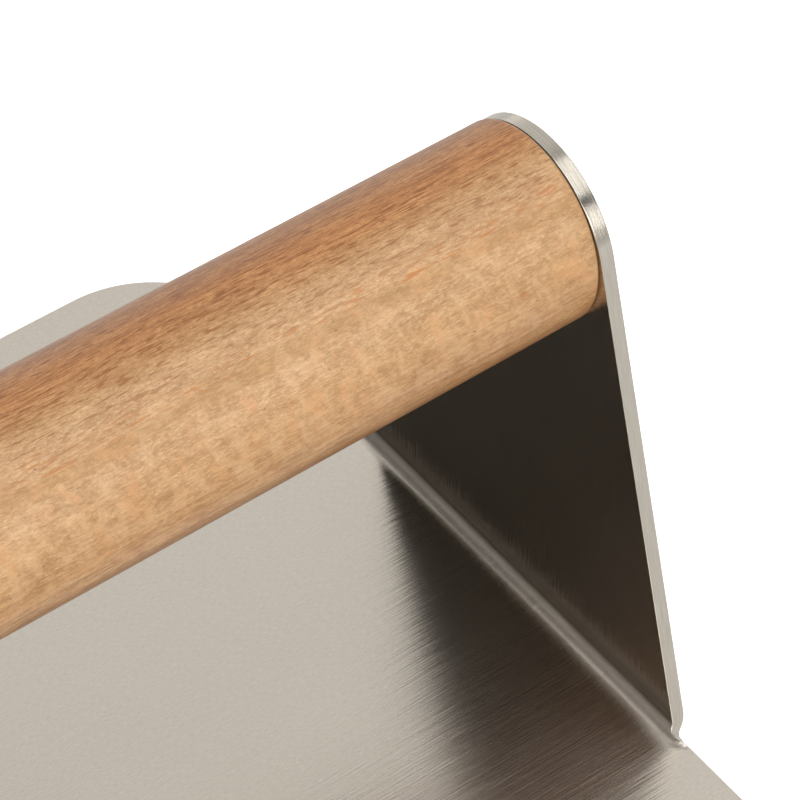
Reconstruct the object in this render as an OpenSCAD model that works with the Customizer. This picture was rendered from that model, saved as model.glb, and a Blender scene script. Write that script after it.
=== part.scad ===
// Bench scraper: one bent steel sheet with two upright ears, and a wooden grip screwed between them.
// X runs along the grip, Y from the front edge to the back edge, Z up.
// The origin is the centre of the plate's underside. Millimetres throughout.

/* [Sheet] */
// Thickness of the steel sheet
sheet_t = 2; // [1.5:0.5:3]
// Width of the plate, which is also the distance between the ears
plate_w = 160; // [110:1:240]
// Depth of the plate from its front edge to its back edge
plate_d = 159; // [110:1:220]
// Radius of the plate's four corners
corner_r = 19; // [4:1:30]

/* [Ears] */
// Height of the grip's axis above the plate's upper face
axis_h = 68; // [50:1:90]
// Radius of each ear's rounded top
ear_top_r = 13.9; // [12.5:0.1:15]
// How far the centre of that rounding is below the grip's axis
ear_drop = 0.8; // [0:0.1:1.5]
// Lean of an ear's front and back sides from the vertical, in degrees
ear_lean = 15.2; // [8:0.1:18]
// Radius inside the bend between the plate and an ear
bend_r = 2; // [1:0.5:4]
// Radius of the hollow corner at the foot of an ear's sides
root_r = 1; // [0.5:0.5:6]

/* [Grip] */
// Diameter of the wooden grip
grip_d = 27; // [24:0.5:30]
// Rounding of the grip's two ends
grip_round = 0.8; // [0.4:0.2:4]

/* [Fixings] */
// Nominal diameter of the two screws
screw_d = 6; // [5:1:6]
// Length of a screw under its head
screw_len = 16; // [12:1:20]
// Diameter of a screw's button head
head_d = 10.5; // [9.5:0.5:12]
// Height of a screw's button head
head_h = 3.3; // [2.5:0.1:4]
// Size across the flats of the hexagon socket
socket_flats = 4; // [3:0.5:4]
// Depth of the hexagon socket
socket_depth = 2.1; // [1.5:0.1:2.4]
// Outer diameter of a spring washer
washer_d = 11.8; // [10:0.1:14]
// Thickness of a spring washer
washer_t = 1.6; // [1:0.1:2]
// Width of the split in a spring washer
washer_split = 1.2; // [0.6:0.1:2]
// Outer diameter of a threaded insert
insert_d = 10; // [9:0.5:12]
// Length of a threaded insert
insert_len = 13; // [10:1:18]

/* [Hidden] */
$fn = 96;

LEFT = -1;
RIGHT = 1;

axis_z = sheet_t + axis_h;
ear_z = axis_z - ear_drop;
ear_face = plate_w / 2;
bend_start = ear_face - bend_r;
bend_outer = bend_r + sheet_t;
bend_z = sheet_t + bend_r;
lean_out = ear_top_r / cos(ear_lean);
ear_reach = ear_top_r + 1;

// Hollow corner: a circle that touches the ear's side and the plate's upper face.
root_z = sheet_t + root_r;
root_y = side_y(root_z) + root_r / cos(ear_lean);

hole_d = screw_d + 0.5;
thread_play = 0.1;
pocket_depth = screw_len - washer_t - sheet_t + 2;

// Button head: a spherical dome between a short rim and a small flat.
rim_h = 0.7;
flat_r = 2.9;
head_r = head_d / 2;
dome_drop = (rim_h * rim_h + head_r * head_r - head_h * head_h - flat_r * flat_r) / (2 * (head_h - rim_h));
dome_r = sqrt(pow(rim_h + dome_drop, 2) + head_r * head_r);
head_face = ear_face + sheet_t + washer_t;

// Half-width of an ear at height z, along its straight side.
function side_y(z) = lean_out + (ear_z - z) * tan(ear_lean);

// Lays a shape built along +Z on the grip's axis, so that it runs outwards from x on the given side.
module along_axis(side, x) {
    translate([side * x, 0, axis_z])
        rotate([0, side * 90, 0])
            children();
}

// Upright outline of an ear, drawn with Y across and Z up, and its foot widened by the hollow corners.
module ear_outline() {
    translate([0, ear_z])
        circle(r = ear_top_r);
    polygon([
        [-side_y(0), 0],
        [side_y(0), 0],
        [ear_top_r * cos(ear_lean), ear_z + ear_top_r * sin(ear_lean)],
        [-ear_top_r * cos(ear_lean), ear_z + ear_top_r * sin(ear_lean)]
    ]);
    difference() {
        translate([-root_y, 0])
            square([2 * root_y, root_z + root_r * sin(ear_lean)]);
        for (end = [-1, 1])
            translate([end * root_y, root_z])
                circle(r = root_r);
    }
}

// Cross-section of one bend and the upright above it, drawn with X across and Z up.
module bend_section() {
    intersection() {
        translate([bend_start, bend_z])
            difference() {
                circle(r = bend_outer);
                circle(r = bend_r);
            }
        translate([bend_start, 0])
            square([bend_outer, bend_z]);
    }
    translate([ear_face, bend_z])
        square([sheet_t, axis_h + ear_reach]);
}

// One ear with its bend, on the right-hand side.
module right_ear() {
    intersection() {
        rotate([90, 0, 0])
            linear_extrude(height = 2 * root_y, center = true)
                bend_section();
        translate([bend_start, 0, 0])
            rotate([90, 0, 90])
                linear_extrude(height = bend_outer)
                    ear_outline();
    }
}

// Flat plate with round corners, cut back between the feet of each ear to where the bend starts.
module flat_plate() {
    corner_x = plate_w / 2 - corner_r;
    corner_y = plate_d / 2 - corner_r;
    difference() {
        union() {
            translate([-corner_x, -plate_d / 2, 0])
                cube([2 * corner_x, plate_d, sheet_t]);
            translate([-plate_w / 2, -corner_y, 0])
                cube([plate_w, 2 * corner_y, sheet_t]);
            for (x = [-corner_x, corner_x], y = [-corner_y, corner_y])
                translate([x, y, 0])
                    cylinder(r = corner_r, h = sheet_t);
        }
        for (side = [LEFT, RIGHT])
            translate([side * (bend_start + bend_outer / 2), 0, sheet_t / 2])
                cube([bend_outer, 2 * root_y, 2 * sheet_t], center = true);
    }
}

module blade_plate() {
    color("#BEB8AC")
        difference() {
            union() {
                flat_plate();
                right_ear();
                mirror([1, 0, 0])
                    right_ear();
            }
            for (side = [LEFT, RIGHT])
                along_axis(side, ear_face - 1)
                    cylinder(d = hole_d, h = sheet_t + 2);
        }
}

module wood_handle() {
    color("#CFA377")
        difference() {
            translate([-plate_w / 2, 0, axis_z])
                rotate([0, 90, 0])
                    rotate_extrude()
                        grip_profile();
            for (side = [LEFT, RIGHT])
                along_axis(side, ear_face - pocket_depth)
                    cylinder(d = insert_d, h = pocket_depth + 1);
        }
}

// Half of the grip's lengthwise section: a bar with rounded ends.
module grip_profile() {
    barrel_r = grip_d / 2;
    square([barrel_r - grip_round, plate_w]);
    translate([0, grip_round])
        square([barrel_r, plate_w - 2 * grip_round]);
    for (end = [grip_round, plate_w - grip_round])
        translate([barrel_r - grip_round, end])
            circle(r = grip_round);
}

module threaded_insert(side) {
    color("#B9964C")
        along_axis(side, ear_face - insert_len)
            difference() {
                cylinder(d = insert_d, h = insert_len);
                translate([0, 0, -1])
                    cylinder(d = screw_d + thread_play, h = insert_len + 2);
            }
}

module spring_washer(side) {
    color("#A8A8A6")
        along_axis(side, ear_face + sheet_t)
            difference() {
                cylinder(d = washer_d, h = washer_t);
                translate([0, 0, -1])
                    cylinder(d = screw_d + thread_play, h = washer_t + 2);
                translate([0, screw_d / 2, washer_t / 2])
                    rotate([0, 35, 0])
                        cube([washer_split, washer_d, 4 * washer_t], center = true);
            }
}

module button_screw(side) {
    color("#B4B4B2")
        along_axis(side, head_face)
            difference() {
                union() {
                    translate([0, 0, -screw_len])
                        cylinder(d = screw_d, h = screw_len);
                    intersection() {
                        cylinder(r = head_r, h = head_h);
                        translate([0, 0, -dome_drop])
                            sphere(r = dome_r);
                    }
                }
                translate([0, 0, head_h - socket_depth])
                    cylinder(d = socket_flats / cos(30), h = socket_depth + 1, $fn = 6);
            }
}

blade_plate();
wood_handle();
threaded_insert(LEFT);  // insert_left
threaded_insert(RIGHT);  // insert_right
spring_washer(LEFT);  // washer_left
spring_washer(RIGHT);  // washer_right
button_screw(LEFT);  // screw_left
button_screw(RIGHT);  // screw_right
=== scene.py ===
"""Looks for the bench scraper: a brushed steel sheet with two bent-up ears, a beech grip, and its fixings.

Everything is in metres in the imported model's frame: X along the grip, Y from front to back, Z up.
"""

import math

import bpy
import numpy as np
from mathutils import Matrix, Vector
from mathutils.geometry import delaunay_2d_cdt


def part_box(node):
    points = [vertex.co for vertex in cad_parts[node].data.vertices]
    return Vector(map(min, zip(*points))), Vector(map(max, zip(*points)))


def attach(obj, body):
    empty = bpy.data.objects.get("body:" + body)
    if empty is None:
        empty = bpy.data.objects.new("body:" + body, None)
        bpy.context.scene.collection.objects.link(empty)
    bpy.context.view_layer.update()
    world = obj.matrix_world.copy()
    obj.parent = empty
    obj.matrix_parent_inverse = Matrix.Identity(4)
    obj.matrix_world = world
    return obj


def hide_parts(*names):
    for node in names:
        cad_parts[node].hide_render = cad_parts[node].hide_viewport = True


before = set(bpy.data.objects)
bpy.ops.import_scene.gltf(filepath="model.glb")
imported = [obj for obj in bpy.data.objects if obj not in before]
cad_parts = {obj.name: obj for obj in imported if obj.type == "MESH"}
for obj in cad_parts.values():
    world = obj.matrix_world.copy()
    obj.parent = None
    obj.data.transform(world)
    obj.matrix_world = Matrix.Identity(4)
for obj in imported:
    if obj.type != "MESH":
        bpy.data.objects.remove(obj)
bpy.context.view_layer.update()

MM = 0.001
TINY = 1e-6
SIDES = {"left": -1, "right": 1}

# ---------------------------------------------------------------- sizes read from the frame

_, plate_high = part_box("blade_plate")
grip_low, grip_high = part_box("wood_handle")
screw_low, screw_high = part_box("screw_right")
washer_low, washer_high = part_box("washer_right")
insert_low, insert_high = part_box("insert_right")

EAR_FACE = grip_high.x
SHEET_T = plate_high.x - EAR_FACE
AXIS_Z = (grip_low.z + grip_high.z) / 2
GRIP_R = (grip_high.z - grip_low.z) / 2
PLATE_HALF_X = EAR_FACE
PLATE_HALF_Y = plate_high.y
INSERT_R = (insert_high.z - insert_low.z) / 2

# ---------------------------------------------------------------- sizes that the boxes don't show

CORNER_R = 19 * MM
EAR_TOP_R = 13.9 * MM
EAR_Z = plate_high.z - EAR_TOP_R
EAR_LEAN = math.radians(15.2)
BEND_R = 2 * MM
ROOT_R = 0.8 * MM
HOLE_R = 3.25 * MM
HOLE_POINTS = 48
EDGE_SOFT = 0.12 * MM
EDGE_STEPS = 3
LINE_DEPTH = 0.028 * MM

GRIP_ROUND = 0.8 * MM
POCKET_DEPTH = 14.4 * MM
POCKET_EASE = 0.5 * MM
WOOD_TURN = math.radians(23)
FIBRE_DEPTH = 0.012 * MM

SCREW_R = 3 * MM
SCREW_MINOR = 2.4 * MM
SCREW_PITCH = 1 * MM
SCREW_LEN = 16 * MM
SCREW_EASE = 0.3 * MM
HEAD_RIM = 0.7 * MM
HEAD_FLAT_R = 2.9 * MM
HEAD_EASE = 0.15 * MM
SOCKET_FLATS = 4 * MM
SOCKET_DEPTH = 2.1 * MM
BORE_R = SCREW_R + 0.05 * MM
WASHER_SPLIT = 1.2 * MM
WASHER_SLANT = math.radians(35)
WASHER_EASE = 0.15 * MM
INSERT_MINOR = 4.1 * MM
INSERT_PITCH = 2 * MM
INSERT_EASE = 0.4 * MM

# The screw's domed head is part of a sphere: its centre is DOME_DROP inside the head's seat.
HEAD_FACE = washer_high.x
HEAD_R = (screw_high.z - screw_low.z) / 2
HEAD_H = screw_high.x - HEAD_FACE
DOME_DROP = (HEAD_RIM**2 + HEAD_R**2 - HEAD_H**2 - HEAD_FLAT_R**2) / (2 * (HEAD_H - HEAD_RIM))
DOME_R = math.hypot(HEAD_RIM + DOME_DROP, HEAD_R)
DOME_X = HEAD_FACE - DOME_DROP
DOME_START = math.asin((HEAD_RIM + DOME_DROP) / DOME_R)
DOME_END = math.asin((HEAD_H + DOME_DROP) / DOME_R)

# ---------------------------------------------------------------- sizes on the flat blank
# u is measured along X from the middle, before the ears are bent up.

BEND_START = EAR_FACE - BEND_R
BEND_Z = SHEET_T + BEND_R
BEND_RUN = (BEND_R + 0.4 * SHEET_T) * math.pi / 2
BEND_END = BEND_START + BEND_RUN
EAR_RUN = EAR_Z - BEND_Z
EAR_TOP_U = BEND_END + EAR_RUN
HOLE_U = EAR_TOP_U + AXIS_Z - EAR_Z

# FLANK_END_Y is half the ear's width where it leaves the bend. ROOT_U and ROOT_Y place the centre of the
# small arc beside it, where the ear's flank meets the plate's side.
FLANK_END_Y = EAR_TOP_R / math.cos(EAR_LEAN) + EAR_RUN * math.tan(EAR_LEAN)
ROOT_U = PLATE_HALF_X + ROOT_R
ROOT_Y = FLANK_END_Y + (BEND_END - ROOT_U) * math.tan(EAR_LEAN) + ROOT_R / math.cos(EAR_LEAN)

# The plate's side edge lifts over this length beside each end of the bend.
LIFT_REACH = 3 * MM
LIFT_END = ROOT_Y + LIFT_REACH

# The strip just before the bend, where the sheet begins to turn. Its width is between two shares of LEAD_IN.
LEAD_IN = 2.3 * MM
LEAD_SHARES = (0.35, 1.15)
LEAD_TILT = math.radians(4)


# ---------------------------------------------------------------- mesh helpers


def smooth_step(values):
    """0 below 0, 1 above 1, and a smooth rise between."""
    share = np.clip(values, 0.0, 1.0)
    return share * share * (3.0 - 2.0 * share)


def unit(vectors):
    """Vectors scaled to length 1."""
    return vectors / np.maximum(np.linalg.norm(vectors, axis=1, keepdims=True), 1e-12)


def new_object(name, vertices, faces, normals=None):
    """A smooth-shaded mesh object, with each vertex's own normal if they are given."""
    mesh = bpy.data.meshes.new(name)
    mesh.from_pydata([tuple(vertex) for vertex in vertices], [], [tuple(face) for face in faces])
    mesh.validate()
    mesh.polygons.foreach_set("use_smooth", [True] * len(mesh.polygons))
    if normals is not None:
        mesh.normals_split_custom_set_from_vertices([tuple(normal) for normal in normals])
    piece = bpy.data.objects.new(name, mesh)
    bpy.context.scene.collection.objects.link(piece)
    return piece


def store(piece, name, values):
    """Stores one vector or number for each vertex."""
    values = np.asarray(values, np.float32)
    if values.ndim == 2:
        attribute = piece.data.attributes.new(name, "FLOAT_VECTOR", "POINT")
        attribute.data.foreach_set("vector", values.ravel())
    else:
        attribute = piece.data.attributes.new(name, "FLOAT", "POINT")
        attribute.data.foreach_set("value", values)


def place(piece, node):
    """The piece stands for a CAD node and rides on the one body; the CAD node is hidden."""
    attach(piece, "root")
    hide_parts(node)
    return piece


# ---------------------------------------------------------------- the bent sheet
# It is laid out flat first: u along X measured on the unbent blank, y across, w down from the upper face.
# Bending then carries each point, its normal and its brushing direction to their places.


def bend_share(points):
    """How far each point is along the bend, and how much the ear's foot takes it along, both from 0 to 1."""
    u, y = np.abs(points[:, 0]), np.abs(points[:, 1])
    past_root = (y - ROOT_Y) / LIFT_REACH
    held = np.where(u > PLATE_HALF_X + TINY, 1.0, 1.0 - smooth_step(past_root))
    return np.clip((u - BEND_START) / BEND_RUN, 0.0, 1.0), held


def bend_point(points):
    """Places of points (u, y, w) once the two ears are bent up."""
    u, y, w = points[:, 0], points[:, 1], points[:, 2]
    run = np.abs(u) - BEND_START
    share, held = bend_share(points)
    angle = share * math.pi / 2 * held
    curved = share * (BEND_RUN + held * (math.pi / 2 * BEND_R - BEND_RUN))
    radius = curved / np.maximum(angle, 1e-6)
    flat_x = np.minimum(np.abs(u), BEND_START)
    x = flat_x + radius * np.sin(angle) + w * np.sin(angle)
    z = SHEET_T + radius * (1 - np.cos(angle)) - w * np.cos(angle)
    z = z + np.maximum(run - BEND_RUN, 0.0)
    x = np.where(angle > 1e-6, x, np.abs(u))
    return np.stack([np.sign(u) * x, y, z], 1)


def bend_slopes(points):
    """How each point's place changes with u, y and w, by small differences, as the columns of a matrix."""
    columns = []
    for axis in range(3):
        shift = np.zeros(3)
        shift[axis] = TINY
        columns.append((bend_point(points + shift) - bend_point(points - shift)) / (2 * TINY))
    return np.stack(columns, 2)


def bend_direction(points, directions):
    """Directions on the flat blank carried through the bend."""
    return unit(np.einsum("nij,nj->ni", bend_slopes(points), directions))


def bend_normal(points, normals):
    """Surface normals carried through the bend, by its slopes' cofactors, negated because w runs down."""
    slopes = bend_slopes(points)
    by_u, by_y, by_w = slopes[:, :, 0], slopes[:, :, 1], slopes[:, :, 2]
    cofactors = np.stack([np.cross(by_y, by_w), np.cross(by_w, by_u), np.cross(by_u, by_y)], 2)
    return -unit(np.einsum("nij,nj->ni", cofactors, normals))


def lead_share(points):
    """How far each point is through the strip before the bend, from 0 to 1. The strip is widest in front."""
    _, held = bend_share(points)
    width = LEAD_IN * np.clip(0.75 - 0.4 * points[:, 1] / ROOT_Y, *LEAD_SHARES)
    return held * np.clip((np.abs(points[:, 0]) - BEND_START + width) / width, 0.0, 1.0)


def lead_in(points, normals):
    """Normals turned a little just before the bend starts, as the sheet is never flat right up to it."""
    share, _ = bend_share(points)
    tilt = LEAD_TILT * lead_share(points) ** 2 * (1.0 - share)
    side = np.sign(points[:, 0])
    turned_x = normals[:, 0] * np.cos(tilt) - side * normals[:, 2] * np.sin(tilt)
    turned_z = normals[:, 2] * np.cos(tilt) + side * normals[:, 0] * np.sin(tilt)
    return np.stack([turned_x, normals[:, 1], turned_z], 1)


def arc_points(centre, radius, start, end, count):
    """Points and outward directions along an arc, angles in radians."""
    out = []
    for angle in np.linspace(start, end, count):
        direction = (math.cos(angle), math.sin(angle))
        out.append((centre[0] + radius * direction[0], centre[1] + radius * direction[1], *direction))
    return out


def quarter_outline():
    """The blank's outline from the middle of its front edge to the top of the right ear.

    Each entry is (u, y, outward u, outward y), and no y is above 0.
    """
    half_pi = math.pi / 2
    points = []
    corner_u = PLATE_HALF_X - CORNER_R
    corner_y = PLATE_HALF_Y - CORNER_R
    for u in np.linspace(0, corner_u, 12, endpoint=False):
        points.append((u, -PLATE_HALF_Y, 0.0, -1.0))
    points += arc_points((corner_u, -corner_y), CORNER_R, -half_pi, 0, 33)
    side_y = [*np.linspace(-corner_y, -LIFT_END, 6)[1:], *np.linspace(-LIFT_END, -ROOT_Y, 13)[1:-1]]
    points += [(PLATE_HALF_X, y, 1.0, 0.0) for y in side_y]
    for angle in np.linspace(0, half_pi - EAR_LEAN, 15):
        outward_u, outward_y = math.cos(angle), -math.sin(angle)
        u = ROOT_U - ROOT_R * outward_u
        y = -ROOT_Y - ROOT_R * outward_y
        points.append((u, y, outward_u, outward_y))
    tangent = -half_pi + EAR_LEAN
    foot_u, foot_y = points[-1][:2]
    top_u = EAR_TOP_U + EAR_TOP_R * math.cos(tangent)
    top_y = EAR_TOP_R * math.sin(tangent)
    bend_u = np.linspace(foot_u, BEND_END, 7)[1:]
    flank_u = np.linspace(BEND_END + 2 * MM, top_u, 14, endpoint=False)
    for u in [*bend_u, BEND_END + 0.5 * MM, *flank_u]:
        share = (u - foot_u) / (top_u - foot_u)
        points.append((u, foot_y + share * (top_y - foot_y), math.cos(tangent), math.sin(tangent)))
    points += arc_points((EAR_TOP_U, 0), EAR_TOP_R, tangent, 0, 40)
    return points


def full_outline():
    """The blank's whole outline, anticlockwise, made by mirroring the quarter."""
    quarter = quarter_outline()
    back = [(u, -y, outward_u, -outward_y) for u, y, outward_u, outward_y in reversed(quarter[:-1])]
    right = quarter + back
    left = [(-u, -y, -outward_u, -outward_y) for u, y, outward_u, outward_y in right]
    return np.array(right[:-1] + left[:-1])


def hole_outline(side):
    """A screw hole in one ear, clockwise, with its outward direction pointing into the hole."""
    angles = np.linspace(0, -2 * math.pi, HOLE_POINTS, endpoint=False)
    u = side * HOLE_U + HOLE_R * np.cos(angles)
    y = HOLE_R * np.sin(angles)
    return np.stack([u, y, -np.cos(angles), -np.sin(angles)], 1)


def rim_rings(loop):
    """Rings of (points, normals) round one outline, from the upper face over both soft edges to the lower."""
    rings = []
    quarter_turns = [k / EDGE_STEPS * math.pi / 2 for k in range(EDGE_STEPS + 1)]
    for lower in (False, True):
        for turn in reversed(quarter_turns) if lower else quarter_turns:
            inset = EDGE_SOFT * (1 - math.sin(turn))
            depth = EDGE_SOFT * (1 - math.cos(turn))
            w = np.full(len(loop), SHEET_T - depth if lower else depth)
            points = np.column_stack([loop[:, :2] - inset * loop[:, 2:], w])
            rise = np.full(len(loop), math.cos(turn) * (1 if lower else -1))
            normals = np.column_stack([math.sin(turn) * loop[:, 2:], rise])
            rings.append((points, normals))
    return rings


def twin_across(points, number, count):
    """The number of the outline point that mirrors another one front to back."""
    u, y = points[number]
    return min(range(count), key=lambda other: abs(points[other][0] - u) + abs(points[other][1] + y))


def face_triangles(loops):
    """Triangles over the blank's face, with extra rows of points where it bends.

    Returns the points (u, y), the triangles, and each outline point's number.
    """
    points = []
    edges = []
    for loop in loops:
        first = len(points)
        points += [tuple(inner) for inner in loop[:, :2] - EDGE_SOFT * loop[:, 2:]]
        edges += [(first + k, first + (k + 1) % len(loop)) for k in range(len(loop))]
    boundary = len(points)
    outline = loops[0]
    for k, (u, y) in enumerate(outline[:, :2]):
        if PLATE_HALF_X + TINY < abs(u) < BEND_END + 1 * MM and y < 0:
            edges.append((k, twin_across(points, k, len(outline))))
    row_y = np.linspace(-LIFT_END, LIFT_END, 83)
    lead_u = np.linspace(BEND_START - LEAD_SHARES[1] * LEAD_IN, BEND_START, 16, endpoint=False)
    bend_u = np.linspace(BEND_START, PLATE_HALF_X - EDGE_SOFT * 2.5, 9)
    for side in SIDES.values():
        for u in [*lead_u, *bend_u]:
            row = [len(points) + k for k in range(len(row_y))]
            points += [(side * u, y) for y in row_y]
            edges += list(zip(row[:-1], row[1:]))
    flat = [Vector(point) for point in points]
    made, _, triangles, sources, _, _ = delaunay_2d_cdt(flat, edges, [], 1, 1e-9)
    kept = []
    hole_reach = (HOLE_R + EDGE_SOFT) * math.cos(math.pi / HOLE_POINTS)
    for triangle in triangles:
        middle_u = sum(made[k][0] for k in triangle) / 3
        middle_y = sum(made[k][1] for k in triangle) / 3
        if math.hypot(abs(middle_u) - HOLE_U, middle_y) > hole_reach:
            kept.append(tuple(triangle))
    where = {source: k for k, found in enumerate(sources) for source in found}
    return np.array([tuple(point) for point in made]), kept, [where[k] for k in range(boundary)]


def build_sheet():
    """The plate, both bends and both ears as one mesh, which carries what its material needs."""
    loops = [full_outline(), hole_outline(-1), hole_outline(1)]
    face, triangles, rim_index = face_triangles(loops)
    count = len(face)
    zeros = np.zeros(count)
    points = [np.column_stack([face, zeros]), np.column_stack([face, zeros + SHEET_T])]
    normals = [np.tile([0, 0, -1.0], (count, 1)), np.tile([0, 0, 1.0], (count, 1))]
    grain = [np.tile([1.0, 0, 0], (count, 1))] * 2
    rim = [zeros] * 2
    run = [zeros] * 2
    faces = triangles + [tuple(count + k for k in reversed(triangle)) for triangle in triangles]
    total = 2 * count
    first = 0
    for loop in loops:
        size = len(loop)
        top = [rim_index[first + k] for k in range(size)]
        bottom = [count + k for k in top]
        first += size
        travel = np.concatenate([[0], np.cumsum(np.linalg.norm(np.diff(loop[:, :2], axis=0), axis=1))])
        along_edge = np.column_stack([-loop[:, 3], loop[:, 2], np.zeros(size)])
        indices = [top]
        for ring_points, ring_normals in rim_rings(loop)[1:-1]:
            points.append(ring_points)
            normals.append(ring_normals)
            grain.append(along_edge)
            rim.append(np.ones(size))
            run.append(travel)
            indices.append(list(range(total, total + size)))
            total += size
        indices.append(bottom)
        for upper, lower in zip(indices[:-1], indices[1:]):
            for k in range(size):
                following = (k + 1) % size
                faces.append((upper[k], lower[k], lower[following], upper[following]))
    flat = np.concatenate(points)
    placed_normals = lead_in(flat, bend_normal(flat, np.concatenate(normals)))
    placed_grain = bend_direction(flat, np.concatenate(grain))
    sheet = new_object("steel_sheet", bend_point(flat), faces, placed_normals)
    store(sheet, "blank", flat)
    store(sheet, "across", unit(np.cross(placed_normals, placed_grain)))
    share, held = bend_share(flat)
    store(sheet, "bent", share * held)
    store(sheet, "lead", lead_share(flat))
    store(sheet, "rim", np.concatenate(rim))
    store(sheet, "run", np.concatenate(run))
    return sheet


# ---------------------------------------------------------------- turned pieces
# A profile is a list of (outward x, radius). A radius may also be a function of the angle round the axis.
# Edges sharper than CREASE stay crisp.

CREASE = math.radians(35)


def turned(name, profile, side, segments, closed=False):
    """A solid of revolution about the grip's axis, with x measured outwards on the given side."""
    vertices = []
    rows = []
    for x, radius in profile:
        if radius == 0:
            rows.append([len(vertices)] * segments)
            vertices.append((side * x, 0.0, AXIS_Z))
            continue
        rows.append(list(range(len(vertices), len(vertices) + segments)))
        for k in range(segments):
            angle = 2 * math.pi * k / segments
            reach = radius(angle) if callable(radius) else radius
            vertices.append((side * x, reach * math.cos(angle), AXIS_Z + reach * math.sin(angle)))
    faces = []
    pairs = list(zip(rows[:-1], rows[1:]))
    if closed:
        pairs.append((rows[-1], rows[0]))
    for inner, outer in pairs:
        for k in range(segments):
            following = (k + 1) % segments
            corners = [inner[k], inner[following], outer[following], outer[k]]
            face = tuple(dict.fromkeys(corners))
            faces.append(face if side > 0 else face[::-1])
    piece = new_object(name, vertices, faces)
    piece.data.set_sharp_from_angle(angle=CREASE)
    return piece


def round_over(x, radius, size, start, end, steps):
    """Profile points of a rounded edge about (x, radius), from one angle to another in degrees."""
    angles = np.radians(np.linspace(start, end, steps))
    return [(x + size * math.cos(angle), radius + size * math.sin(angle)) for angle in angles]


def thread_rows(start, end, pitch, major_r, minor_r, per_turn=12):
    """Profile rows of a screw thread between two stations: each row's radius follows the helix."""

    def ridge(x):
        def radius(angle):
            phase = (x / pitch - angle / (2 * math.pi)) % 1.0
            height = min(1.0, max(0.0, 2.4 * (1 - abs(2 * phase - 1)) - 0.4))
            fade = min(1.0, max(0.0, (x - start) / pitch), max(0.0, (end - x) / pitch))
            return minor_r + (major_r - minor_r) * height * fade

        return radius

    count = round((end - start) / pitch * per_turn)
    return [(x, ridge(x)) for x in np.linspace(start, end, count + 1)]


def hexagon(flats):
    """Radius of a hexagon across the given flats, as a function of the angle."""

    def radius(angle):
        within = (angle % (math.pi / 3)) - math.pi / 6
        return flats / 2 / math.cos(within)

    return radius


def build_grip():
    """The beech dowel, with rounded ends and a pocket in each end."""
    pocket_end = EAR_FACE - POCKET_DEPTH
    half = [(0.0, GRIP_R)]
    half += [(x, GRIP_R) for x in np.linspace(0, EAR_FACE - GRIP_ROUND, 40)[1:-1]]
    half += round_over(EAR_FACE - GRIP_ROUND, GRIP_R - GRIP_ROUND, GRIP_ROUND, 90, 0, 14)
    half += [(EAR_FACE, INSERT_R + POCKET_EASE)]
    half += [(EAR_FACE - POCKET_EASE, INSERT_R), (pocket_end, INSERT_R), (pocket_end, 0)]
    other = [(-x, radius) for x, radius in reversed(half[1:])]
    return turned("wood_grip", other + half, 1, segments=192)


def build_screw(name, side):
    """A button-head screw with a hexagon socket and a rolled thread."""
    tip = HEAD_FACE - SCREW_LEN
    rim_x = HEAD_FACE + HEAD_RIM
    top_x = screw_high.x
    socket_end = top_x - SOCKET_DEPTH
    profile = [(tip, 0), (tip, SCREW_MINOR - SCREW_EASE)]
    profile += thread_rows(tip + SCREW_EASE, HEAD_FACE - 2 * SCREW_EASE, SCREW_PITCH, SCREW_R, SCREW_MINOR)
    profile += [(HEAD_FACE, SCREW_MINOR), (HEAD_FACE, HEAD_R - HEAD_EASE)]
    profile += [(HEAD_FACE + HEAD_EASE, HEAD_R), (rim_x - HEAD_EASE, HEAD_R)]
    for share in np.linspace(0, 1, 12):
        swing = DOME_START + share * (DOME_END - DOME_START)
        profile.append((DOME_X + DOME_R * math.sin(swing), DOME_R * math.cos(swing)))
    socket = hexagon(SOCKET_FLATS)
    eased = hexagon(SOCKET_FLATS + 2 * HEAD_EASE)
    profile += [(top_x, eased), (top_x - HEAD_EASE, socket), (socket_end, socket)]
    profile += [(socket_end - SCREW_EASE, 0)]
    return turned(name, profile, side, segments=72)


def build_insert(name, side):
    """A brass insert with a coarse wood thread outside and a plain bore."""
    inner = EAR_FACE - (insert_high.x - insert_low.x)
    outer = EAR_FACE - INSERT_EASE
    small_ease = INSERT_EASE / 2
    profile = [(EAR_FACE, BORE_R + INSERT_EASE), (EAR_FACE, INSERT_MINOR)]
    profile += thread_rows(inner, outer, INSERT_PITCH, INSERT_R, INSERT_MINOR, 16)[::-1]
    profile += [(inner, BORE_R + small_ease), (inner + small_ease, BORE_R), (outer, BORE_R)]
    return turned(name, profile[::-1], side, segments=72, closed=True)


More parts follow.
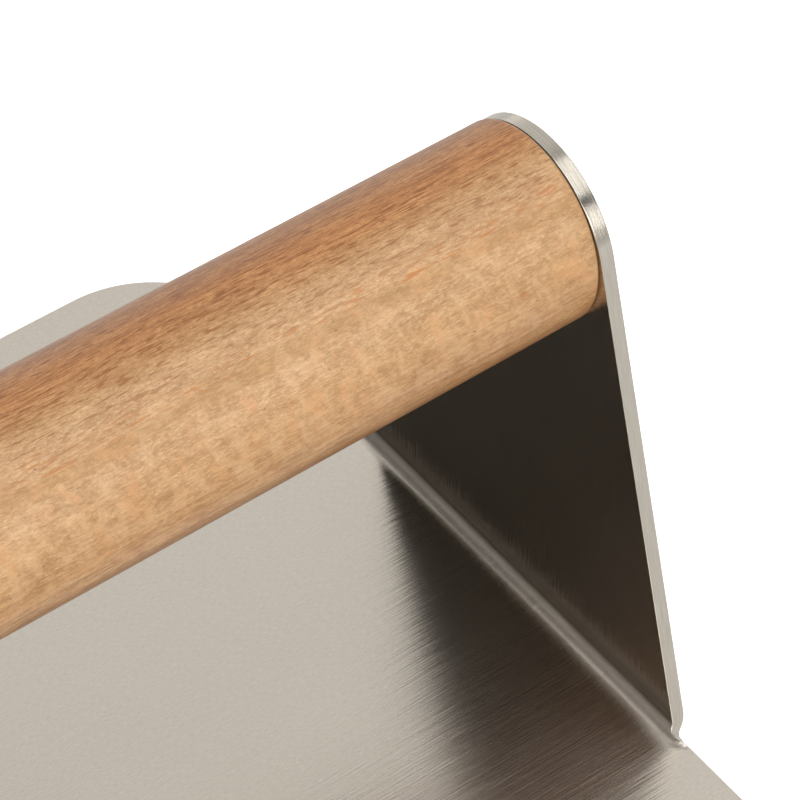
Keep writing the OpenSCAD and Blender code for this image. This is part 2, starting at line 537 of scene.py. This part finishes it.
def build_washer(name, side):
    """A split spring washer, flattened by the screw: a rounded bar bent nearly full circle."""
    outer_r = (washer_high.z - washer_low.z) / 2
    near, far = washer_low.x, washer_high.x
    ease = WASHER_EASE
    section = [
        (near, BORE_R + ease), (near, outer_r - ease), (near + ease, outer_r),
        (far - ease, outer_r), (far, outer_r - ease), (far, BORE_R + ease),
        (far - ease, BORE_R), (near + ease, BORE_R),
    ]
    middle_x = (near + far) / 2
    vertices = []
    faces = []
    stations = 96
    for station in range(stations + 1):
        for x, radius in section:
            slant = math.tan(WASHER_SLANT) * (x - middle_x)
            gap = math.asin((WASHER_SPLIT / 2) / radius)
            from_split = gap + (2 * math.pi - 2 * gap) * station / stations
            angle = math.pi / 2 + from_split + slant / radius
            vertices.append((side * x, radius * math.cos(angle), AXIS_Z + radius * math.sin(angle)))
    size = len(section)
    for station in range(stations):
        for k in range(size):
            corner = station * size + k
            following = station * size + (k + 1) % size
            face = (corner, following, following + size, corner + size)
            faces.append(face[::-1] if side > 0 else face)
    start = tuple(range(size))
    end = tuple(range(stations * size, (stations + 1) * size))
    faces += [start[::-1], end] if side < 0 else [start, end[::-1]]
    washer = new_object(name, vertices, faces)
    washer.data.set_sharp_from_angle(angle=CREASE)
    return washer


# ---------------------------------------------------------------- shader helpers


def add(tree, kind, inputs=None, **settings):
    """A shader node with its settings, and its inputs given as values or as sockets to link from."""
    made = tree.nodes.new(kind)
    for name, value in settings.items():
        setattr(made, name, value)
    for key, value in (inputs or {}).items():
        plug(tree, made.inputs[key], value)
    return made


def plug(tree, socket, value):
    """Links a socket to another one, or sets its value."""
    if isinstance(value, bpy.types.NodeSocket):
        tree.links.new(value, socket)
    else:
        socket.default_value = value


def feed(tree, shader, **inputs):
    """Links sockets, or sets values, on the shader's inputs. Underscores stand for spaces."""
    for key, value in inputs.items():
        plug(tree, shader.inputs[key.replace("_", " ")], value)


def calc(tree, operation, *values):
    """Arithmetic on numbers or sockets. A sum or a product may have more than two terms."""
    result = add(tree, "ShaderNodeMath", dict(enumerate(values[:2])), operation=operation).outputs[0]
    for value in values[2:]:
        result = add(tree, "ShaderNodeMath", {0: result, 1: value}, operation=operation).outputs[0]
    return result


def vector_calc(tree, operation, first, second):
    """Arithmetic on two vectors."""
    return add(tree, "ShaderNodeVectorMath", {0: first, 1: second}, operation=operation).outputs[0]


def stretch(tree, vector, x, y, z):
    """A vector with each part scaled, so that a pattern runs long or short along it."""
    return vector_calc(tree, "MULTIPLY", vector, (x, y, z))


def split(tree, vector):
    """The three parts of a vector."""
    return add(tree, "ShaderNodeSeparateXYZ", {0: vector}).outputs[:]


def attribute(tree, name, output="Fac"):
    """What store() put on the vertices."""
    return add(tree, "ShaderNodeAttribute", attribute_name=name).outputs[output]


def noise(tree, vector, detail=3.0, roughness=0.5, scale=1.0):
    """A noise between 0 and 1, mostly near 0.5."""
    inputs = {"Vector": vector, "Scale": scale, "Detail": detail, "Roughness": roughness}
    return add(tree, "ShaderNodeTexNoise", inputs).outputs[0]


def remap(tree, value, low, high, to_low=0.0, to_high=1.0, smooth=False):
    """A value carried from one range to another and held at its ends."""
    kind = "SMOOTHSTEP" if smooth else "LINEAR"
    inputs = {0: value, 1: low, 2: high, 3: to_low, 4: to_high}
    return add(tree, "ShaderNodeMapRange", inputs, interpolation_type=kind).outputs[0]


def band(tree, value, centre, reach, core):
    """1 where a value is within core of a centre, falling smoothly to 0 at reach."""
    off_centre = calc(tree, "ABSOLUTE", calc(tree, "SUBTRACT", value, centre))
    return remap(tree, off_centre, reach, core, smooth=True)


def mix_number(tree, share, first, second):
    """A number between two others."""
    return add(tree, "ShaderNodeMix", {0: share, 2: first, 3: second}, data_type="FLOAT").outputs[0]


def blend_colour(tree, share, first, second, mode="MIX"):
    """The second colour laid over the first, by a share."""
    inputs = {0: share, 6: first, 7: second}
    node = add(tree, "ShaderNodeMix", data_type="RGBA", blend_type=mode, clamp_factor=True)
    for number, value in inputs.items():
        plug(tree, node.inputs[number], value)
    return node.outputs[2]


def new_material(name):
    """A material with its tree, its shader and the shaded point's place in the model's frame."""
    material = bpy.data.materials.new(name)
    material.use_nodes = True
    tree = material.node_tree
    shader = tree.nodes["Principled BSDF"]
    position = add(tree, "ShaderNodeTexCoord").outputs["Object"]
    return material, tree, shader, position


# ---------------------------------------------------------------- materials
# Patterns are laid out in millimetres.

STEEL_FACE = ((0.59, 0.545, 0.478, 1), (0.65, 0.6, 0.53, 1))
STEEL_EDGE = ((0.46, 0.425, 0.365, 1), (0.59, 0.55, 0.48, 1))
# The last colour is painted shade for the inner corner at each ear's foot.
STEEL_CORNER_SHADE = (0.26, 0.23, 0.195, 1)


def brushed_steel():
    """Brushed stainless sheet: long fine lines on its faces, duller along the bends, with scratched edges,
    and painted shade in the inner corner at each ear's foot.
    """
    material, tree, shader, _ = new_material("brushed_stainless")
    blank = attribute(tree, "blank", "Vector")
    rim = attribute(tree, "rim")
    depth = split(tree, blank)[2]
    place_mm = stretch(tree, blank, 1000, 1000, 0)
    lines = noise(tree, stretch(tree, place_mm, 0.1, 3.0, 0), detail=2, roughness=0.6)
    long_lines = noise(tree, stretch(tree, place_mm, 0.014, 0.9, 0))
    speckle = noise(tree, stretch(tree, place_mm, 1.2, 6.0, 0), detail=2)
    nicks = noise(tree, stretch(tree, place_mm, 0.35, 5.0, 0), detail=2)
    cloud = noise(tree, stretch(tree, place_mm, 0.05, 0.06, 0))
    edge_place = add(tree, "ShaderNodeCombineXYZ", {"X": attribute(tree, "run"), "Y": depth}).outputs[0]
    edge_mm = stretch(tree, edge_place, 1000, 1000, 0)
    scratches = noise(tree, stretch(tree, edge_mm, 0.22, 7.0, 0), detail=4, roughness=0.6)
    edge_cloud = noise(tree, stretch(tree, edge_mm, 0.3, 0.5, 0))

    face_height = calc(tree, "ADD", lines, calc(tree, "MULTIPLY", long_lines, 0.8))
    height = mix_number(tree, rim, face_height, scratches)
    bump = add(tree, "ShaderNodeBump", {"Strength": 1.0, "Distance": LINE_DEPTH, "Height": height})

    # The strip up to the bend is rougher, and unevenly so.
    bend_in = calc(tree, "POWER", attribute(tree, "lead"), 2.2)
    bend_out = remap(tree, attribute(tree, "bent"), 1.0, 0.7, smooth=True)
    bend_rough = calc(tree, "MULTIPLY", bend_in, bend_out, remap(tree, nicks, 0.3, 0.7, 0.15, 0.27))
    line_rough = remap(tree, lines, 0.3, 0.7, 0.19, 0.23)
    face_rough = calc(tree, "ADD", line_rough, remap(tree, cloud, 0.3, 0.7, -0.01, 0.01), bend_rough)
    scratch_rough = remap(tree, scratches, 0.3, 0.7, 0.17, 0.27)
    edge_rough = calc(tree, "ADD", scratch_rough, remap(tree, edge_cloud, 0.5, 0.8, 0.0, 0.1))
    rough = mix_number(tree, rim, face_rough, edge_rough)

    # Painted shade: the base colour is darkened in the inner corner at each ear's foot, on the sheet's upper
    # side.
    from_middle = calc(tree, "ABSOLUTE", split(tree, place_mm)[0])
    foot_start = [(BEND_START + share * BEND_RUN) / MM for share in (0.65, 0.9)]
    foot_end = [BEND_END / MM + above for above in (3.2, 0.8)]
    foot = calc(tree, "MULTIPLY", remap(tree, from_middle, *foot_start, smooth=True),
                remap(tree, from_middle, *foot_end, smooth=True),
                remap(tree, depth, 0.6 * SHEET_T, 0.4 * SHEET_T), 0.8)
    face_tint = blend_colour(tree, remap(tree, speckle, 0.3, 0.7), *STEEL_FACE)
    face_tint = blend_colour(tree, foot, face_tint, STEEL_CORNER_SHADE)
    edge_tint = blend_colour(tree, remap(tree, scratches, 0.3, 0.7), *STEEL_EDGE)
    tint = blend_colour(tree, rim, face_tint, edge_tint)
    feed(tree, shader, Base_Color=tint, Metallic=1.0, Roughness=rough, Anisotropic=0.75,
         Normal=bump.outputs[0], Tangent=attribute(tree, "across", "Vector"))
    return material


def wood_axes(tree, position):
    """The pattern's axes laid over the grip, first straight and then with a grain that sways a little."""
    centred = vector_calc(tree, "SUBTRACT", position, (0, 0, AXIS_Z))
    laid = add(tree, "ShaderNodeVectorRotate", rotation_type="X_AXIS",
               inputs={"Vector": stretch(tree, centred, 1000, 1000, 1000), "Angle": WOOD_TURN}).outputs[0]
    sway = add(tree, "ShaderNodeTexNoise", {"Vector": stretch(tree, laid, 0.018, 0.05, 0.05), "Scale": 1.0,
                                            "Detail": 2.0}).outputs["Color"]
    sway = stretch(tree, vector_calc(tree, "SUBTRACT", sway, (0.5, 0.5, 0.5)), 0, 2.6, 2.6)
    return laid, vector_calc(tree, "ADD", laid, sway)


def ray_patches(tree, vector, sizes, low, high):
    """Patches of rays, cut to a soft edge between two levels of a noise."""
    patches = noise(tree, stretch(tree, vector, *sizes), roughness=0.6)
    return remap(tree, patches, low, high, smooth=True)


def beech():
    """Satin-lacquered beech, as a solid pattern of fibres, growth rings and rays, with painted shade on the
    grip's underside and next to each ear.

    In the pattern's own axes x is the grain, t is round the rings and r is out from the tree's middle.
    The rays are thin plates in x and r, so they show as short dashes where the surface faces along r, and
    as patches where it faces along t.
    """
    material, tree, shader, position = new_material("beech")
    laid, grain = wood_axes(tree, position)
    x, t, r = split(tree, grain)

    # How squarely the surface faces along t, from where it is round the grip.
    t_squared, r_squared = [calc(tree, "MULTIPLY", part, part) for part in split(tree, laid)[1:]]
    ray_face = calc(tree, "DIVIDE", t_squared, calc(tree, "ADD", t_squared, r_squared, 0.01))
    on_ray_face = remap(tree, ray_face, 0.45, 0.95, smooth=True)
    off_ray_face = remap(tree, ray_face, 0.9, 0.35, smooth=True)

    # Fine grain, from tone to single fibres.
    tone = noise(tree, stretch(tree, grain, 0.16, 0.5, 0.5), detail=5, roughness=0.75)
    fibres = noise(tree, stretch(tree, grain, 0.75, 3.6, 3.6), detail=4, roughness=0.8)
    hairs = noise(tree, stretch(tree, grain, 0.1, 2.6, 2.6), roughness=0.6)
    mottle = noise(tree, stretch(tree, grain, 2.6, 4.4, 4.4), detail=2, roughness=0.8)
    grit = noise(tree, stretch(tree, grain, 1.3, 7.0, 7.0), detail=2, roughness=0.6)
    specks = remap(tree, noise(tree, stretch(tree, grain, 1.1, 2.6, 2.6), detail=1), 0.76, 0.8, smooth=True)

    # Rays: dashes where they are cut across, and slanted patches where they are cut along.
    dashes = remap(tree, noise(tree, stretch(tree, grain, 0.4, 3.6, 0.36), detail=2), 0.54, 0.66, smooth=True)
    slanted_x = calc(tree, "ADD", x, calc(tree, "MULTIPLY", r, 0.3))
    slanted = add(tree, "ShaderNodeCombineXYZ", {"X": slanted_x, "Y": t, "Z": r}).outputs[0]
    pale_rays = ray_patches(tree, slanted, (0.42, 0.6, 0.13), 0.47, 0.63)
    elsewhere = vector_calc(tree, "ADD", slanted, (41.0, 17.0, 5.0))
    pink_rays = ray_patches(tree, elsewhere, (0.3, 0.6, 0.14), 0.53, 0.66)

    # Growth rings, curved over t.
    ring_depth = calc(tree, "ADD", r, calc(tree, "MULTIPLY", t, t, 0.006))
    ring_inputs = {"X": calc(tree, "MULTIPLY", x, 0.004), "Y": ring_depth}
    ring_place = add(tree, "ShaderNodeCombineXYZ", ring_inputs).outputs[0]
    rings = noise(tree, ring_place, roughness=0.6, scale=0.8)
    red_ring = remap(tree, ring_depth, 10.8, 13.1, smooth=True)
    outer_ring = remap(tree, ring_depth, 12.1, 13.5, smooth=True)
    low_red = remap(tree, r, 0.0, -9.0, smooth=True)
    # Painted shade: the grip's lower front side and underside are darkened in colour.
    underside_shade = remap(tree, r, -8.0, -12.5, smooth=True)
    dark_ring = band(tree, ring_depth, centre=7.0, reach=1.2, core=0.2)
    streak_ring = band(tree, ring_depth, centre=8.4, reach=1.7, core=0.4)
    streaks = noise(tree, stretch(tree, grain, 0.3, 3.2, 1.6), detail=2)
    streak_level = calc(tree, "SUBTRACT", 0.7, calc(tree, "MULTIPLY", streak_ring, 0.13))
    streaks = remap(tree, calc(tree, "SUBTRACT", streaks, streak_level), 0.0, 0.08, smooth=True)

    # Painted shade: the last half millimetre at each ear is darkened, most of all on the grip's upper side,
    # for the shadow in the gap against the ear.
    end_mm = EAR_FACE / MM
    end_shade = remap(tree, calc(tree, "ABSOLUTE", x), end_mm - 0.45, end_mm - 0.1, smooth=True)
    end_shade_share = calc(tree, "MULTIPLY", end_shade, remap(tree, r, -4.0, 8.0, 0.1, 0.8))

    # Colours, each layer laid over the ones before it.
    tone_share = calc(tree, "ADD", remap(tree, tone, 0.33, 0.67, 0.0, 0.6),
                      remap(tree, mottle, 0.33, 0.67, 0.0, 0.4))
    line_share = calc(tree, "ADD", calc(tree, "MULTIPLY", red_ring, 0.5),
                      calc(tree, "MULTIPLY", low_red, 0.5))
    dash_share = calc(tree, "ADD", calc(tree, "MULTIPLY", off_ray_face, 0.55),
                      calc(tree, "MULTIPLY", red_ring, 0.2), 0.15)
    colour = blend_colour(tree, tone_share, (0.36, 0.18, 0.06, 1), (0.76, 0.475, 0.24, 1))
    layers = [
        (remap(tree, rings, 0.45, 0.65, 0.0, 0.3, smooth=True), "MIX", (0.49, 0.25, 0.095)),
        (remap(tree, hairs, 0.5, 0.7, 0.0, 0.5), "MIX", (0.42, 0.205, 0.08)),
        (remap(tree, fibres, 0.5, 0.75, 0.0, 0.75), "MIX", (0.38, 0.178, 0.064)),
        (remap(tree, fibres, 0.48, 0.25, 0.0, 0.6), "MIX", (0.8, 0.56, 0.32)),
        (remap(tree, grit, 0.5, 0.8, 0.0, 0.55), "MIX", (0.4, 0.19, 0.07)),
        (remap(tree, grit, 0.5, 0.2, 0.0, 0.45), "MIX", (0.83, 0.58, 0.33)),
        (calc(tree, "MULTIPLY", dark_ring, 0.4), "MIX", (0.42, 0.23, 0.08)),
        (red_ring, "MULTIPLY", (1.0, 0.84, 0.7)),
        (outer_ring, "MULTIPLY", (1.05, 0.94, 0.8)),
        (low_red, "MULTIPLY", (1.02, 0.93, 0.82)),
        (calc(tree, "MULTIPLY", remap(tree, hairs, 0.48, 0.64), line_share), "MULTIPLY", (0.6, 0.46, 0.36)),
        (calc(tree, "MULTIPLY", pale_rays, on_ray_face, 0.34), "MIX", (0.78, 0.5, 0.27)),
        (calc(tree, "MULTIPLY", pink_rays, on_ray_face, 0.5), "MIX", (0.7, 0.36, 0.16)),
        (calc(tree, "MULTIPLY", dashes, dash_share), "MIX", (0.31, 0.105, 0.022)),
        (calc(tree, "MULTIPLY", streaks, 0.75), "MIX", (0.52, 0.2, 0.045)),
        (calc(tree, "MULTIPLY", specks, 0.7), "MIX", (0.1, 0.05, 0.03)),
        # Painted shade on the grip's lower front side and underside.
        (underside_shade, "MULTIPLY", (0.6, 0.5, 0.42)),
        # Painted shade at each end of the grip, next to the ear.
        (end_shade_share, "MIX", (0.1, 0.05, 0.025)),
    ]
    for share, mode, paint in layers:
        colour = blend_colour(tree, share, colour, (*paint, 1), mode)

    height = calc(tree, "SUBTRACT", fibres, calc(tree, "MULTIPLY", dashes, 0.5))
    bump = add(tree, "ShaderNodeBump", {"Strength": 0.6, "Distance": FIBRE_DEPTH, "Height": height})
    rough = remap(tree, fibres, 0.3, 0.7, 0.3, 0.42)
    feed(tree, shader, Base_Color=colour, Roughness=rough, Normal=bump.outputs[0], IOR=1.5)
    return material


def plain_metal(name, colour, low, high):
    """Machined metal with faint turning marks."""
    material, tree, shader, position = new_material(name)
    marks = noise(tree, stretch(tree, position, 2500, 400, 400), detail=3)
    rough = remap(tree, marks, 0.3, 0.7, low, high)
    feed(tree, shader, Base_Color=(*colour, 1), Metallic=1.0, Roughness=rough)
    return material


# ---------------------------------------------------------------- build

sheet = place(build_sheet(), "blade_plate")
sheet.data.materials.append(brushed_steel())
grip = place(build_grip(), "wood_handle")
grip.data.materials.append(beech())
brass = plain_metal("insert_brass", (0.68, 0.49, 0.2), 0.25, 0.4)
bright = plain_metal("bright_steel", (0.58, 0.57, 0.55), 0.18, 0.3)
for word, side in SIDES.items():
    insert = place(build_insert(f"brass_insert_{word}", side), f"insert_{word}")
    insert.data.materials.append(brass)
    washer = place(build_washer(f"spring_washer_{word}", side), f"washer_{word}")
    washer.data.materials.append(bright)
    screw = place(build_screw(f"button_screw_{word}", side), f"screw_{word}")
    screw.data.materials.append(bright)


# ---------------------------------------------------------------- camera

VIEW_AZIMUTH = math.radians(37.0)
VIEW_DOWN = math.radians(47.26)
VIEW_DISTANCE = 475.2 * MM
VIEW_LENS = 175.6
AIM_LEFT = 15.98 * MM
AIM_LOW = 22.17 * MM


def make_camera():
    """A long lens from the front left, above, aimed beside the grip's right-hand end."""
    forward = Vector((
        math.sin(VIEW_AZIMUTH) * math.cos(VIEW_DOWN),
        math.cos(VIEW_AZIMUTH) * math.cos(VIEW_DOWN),
        -math.sin(VIEW_DOWN),
    ))
    right = Vector((math.cos(VIEW_AZIMUTH), -math.sin(VIEW_AZIMUTH), 0))
    up = right.cross(forward)
    grip_end = Vector((EAR_FACE, 0, AXIS_Z))
    aim = grip_end - AIM_LEFT * right - AIM_LOW * up
    data = bpy.data.cameras.new("camera")
    data.sensor_width = 36
    data.lens = VIEW_LENS
    data.clip_start = 0.01
    data.clip_end = 50
    camera = bpy.data.objects.new("camera", data)
    turn = Matrix((right, up, -forward)).transposed().to_4x4()
    camera.matrix_world = Matrix.Translation(aim - VIEW_DISTANCE * forward) @ turn
    bpy.context.scene.collection.objects.link(camera)
    bpy.context.scene.camera = camera


make_camera()


# ---------------------------------------------------------------- floor and light

FLOOR_REACH = 6.0
FLOOR_GAP = 0.05 * MM
SOFTBOX_DISTANCE = 2.5
SIDEWAYS = Vector((1, 0, 0))
RIM_MIRROR_X = 0.447


def compass(azimuth, elevation):
    """A unit vector from an azimuth, from +X towards +Y, and an elevation, in degrees."""
    turn = math.radians(azimuth)
    rise = math.radians(elevation)
    return Vector((math.cos(turn) * math.cos(rise), math.sin(turn) * math.cos(rise), math.sin(rise)))


def rim_arc(turn):
    """Where the ear's rounded edge mirrors, for a turn in degrees in the plane across the grip."""
    return Vector((RIM_MIRROR_X, math.cos(math.radians(turn)), math.sin(math.radians(turn))))


def build_floor():
    """A plain pale floor, wide enough to fill every view below the horizon, and see-through from beneath."""
    signs = ((-1, -1), (1, -1), (1, 1), (-1, 1))
    corners = [(side_x * FLOOR_REACH, side_y * FLOOR_REACH, -FLOOR_GAP) for side_x, side_y in signs]
    floor = new_object("floor", corners, [(0, 1, 2, 3)])
    material, tree, shader, _ = new_material("floor")
    rays = add(tree, "ShaderNodeLightPath").outputs
    colour = blend_colour(tree, rays["Is Diffuse Ray"], (0.86, 0.86, 0.86, 1), (0.2, 0.2, 0.2, 1))
    glow = calc(tree, "ADD", 0.1, calc(tree, "MULTIPLY", rays["Is Camera Ray"], 0.55))
    glow = calc(tree, "MULTIPLY", glow, calc(tree, "SUBTRACT", 1.0, rays["Is Diffuse Ray"]))
    from_below = add(tree, "ShaderNodeNewGeometry").outputs["Backfacing"]
    feed(tree, shader, Base_Color=colour, Roughness=0.9, Specular_IOR_Level=0.1)
    feed(tree, shader, Alpha=calc(tree, "SUBTRACT", 1.0, from_below))
    feed(tree, shader, Emission_Color=(1, 1, 1, 1), Emission_Strength=glow)
    floor.data.materials.append(material)


def build_world():
    """A dim room, darkest up at the left back, with a pale band low down. Camera rays see plain white."""
    world = bpy.data.worlds.new("studio")
    bpy.context.scene.world = world
    world.use_nodes = True
    tree = world.node_tree
    direction = add(tree, "ShaderNodeTexCoord").outputs["Generated"]
    up = split(tree, direction)[2]
    towards_dark = add(tree, "ShaderNodeVectorMath", {0: direction, 1: tuple(compass(135, 28))},
                       operation="DOT_PRODUCT").outputs["Value"]
    low_down = remap(tree, up, 0.3, 0.1, smooth=True)
    walls = blend_colour(tree, low_down, (0.14, 0.135, 0.13, 1), (0.62, 0.6, 0.57, 1))
    dark_side = remap(tree, towards_dark, 0.55, 0.88, smooth=True)
    room = blend_colour(tree, dark_side, walls, (0.018, 0.014, 0.011, 1))
    seen = add(tree, "ShaderNodeLightPath").outputs["Is Camera Ray"]
    plug(tree, tree.nodes["Background"].inputs["Color"], blend_colour(tree, seen, room, (1, 1, 1, 1)))


def softbox(name, towards, along, width, height, radiance, tint=(1, 1, 1)):
    """A rectangular light towards one direction from the object, with its width along another.

    The width and height are in degrees as seen from the object.
    """
    data = bpy.data.lights.new(name, "AREA")
    data.shape = "RECTANGLE"
    data.size = 2 * SOFTBOX_DISTANCE * math.tan(math.radians(width) / 2)
    data.size_y = 2 * SOFTBOX_DISTANCE * math.tan(math.radians(height) / 2)
    data.energy = radiance * math.pi * data.size * data.size_y
    data.color = tint
    light = bpy.data.objects.new(name, data)
    back = towards.normalized()
    across = (along - along.dot(back) * back).normalized()
    turn = Matrix((across, back.cross(across), back)).transposed().to_4x4()
    light.matrix_world = Matrix.Translation(Vector((0, 0, AXIS_Z)) + SOFTBOX_DISTANCE * back) @ turn
    bpy.context.scene.collection.objects.link(light)


build_floor()
build_world()
softbox("right_back", compass(48, 33), compass(138, 0), 62, 66, 0.73, (1, 0.99, 0.97))
softbox("front_high", rim_arc(107.5) - 0.3 * SIDEWAYS, rim_arc(117.5) - rim_arc(97.5), 40, 60, 2.0)
softbox("front_low", rim_arc(152), rim_arc(162) - rim_arc(142), 22, 20, 2.1)
softbox("key", compass(-118, 25), compass(-28, 0), 84, 30, 2.9)
bpy.context.scene.view_settings.view_transform = "Standard"
